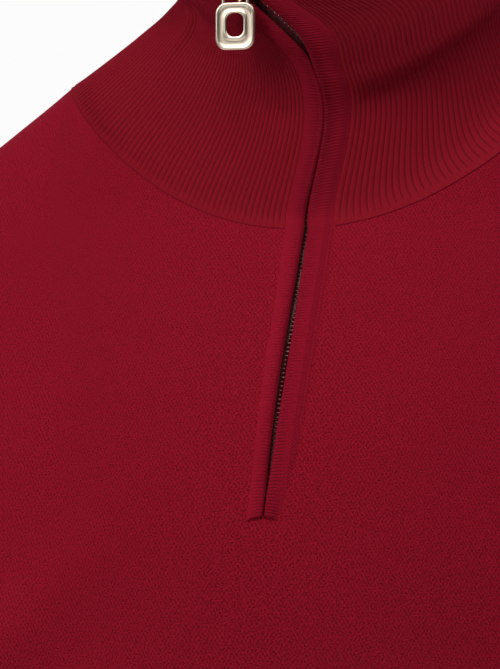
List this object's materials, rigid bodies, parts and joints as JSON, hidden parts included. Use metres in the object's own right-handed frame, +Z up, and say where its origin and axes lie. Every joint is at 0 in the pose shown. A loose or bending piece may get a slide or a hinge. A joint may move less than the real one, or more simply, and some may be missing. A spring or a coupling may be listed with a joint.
{
  "type": "quarter-zip sweater",
  "caption": "Worn quarter-zip knit sweater: a hollow body and sleeves, a ribbed stand collar, ribbed hem and cuffs, and a short front zip with a hanging pull.",
  "frame": {"origin": "midway between the two neck points of the shoulders, where the wearer's shoulders hold the sweater", "axes": "+Z up the body, -Y out of the front, +X to the wearer's left"},
  "size_m": [0.7, 0.2782, 0.7842],
  "materials": {
    "knit": "matt fine pique knit",
    "rib": "matt ribbed knit",
    "tape": "matt woven tape",
    "metal": "satin pale gold"
  },
  "bodies": {
    "garment": {"front": "knit", "back": "knit", "sleeve_left": "knit", "sleeve_right": "knit", "collar": "rib", "hem_rib": "rib", "cuff_left": "rib", "cuff_right": "rib", "band_left": "knit", "band_right": "knit", "tape_left": "tape", "tape_right": "tape", "slider": "metal"},
    "pull": {"pull_tab": "metal"}
  },
  "joints": [
    {"name": "pull_swing", "type": "hinge", "parent": "garment", "child": "pull", "pos_m": [-0.02813, -0.08069, 0.04429], "axis": [0.9781, -0.2079, 0], "range_deg": [-150, 0]}
  ]
}
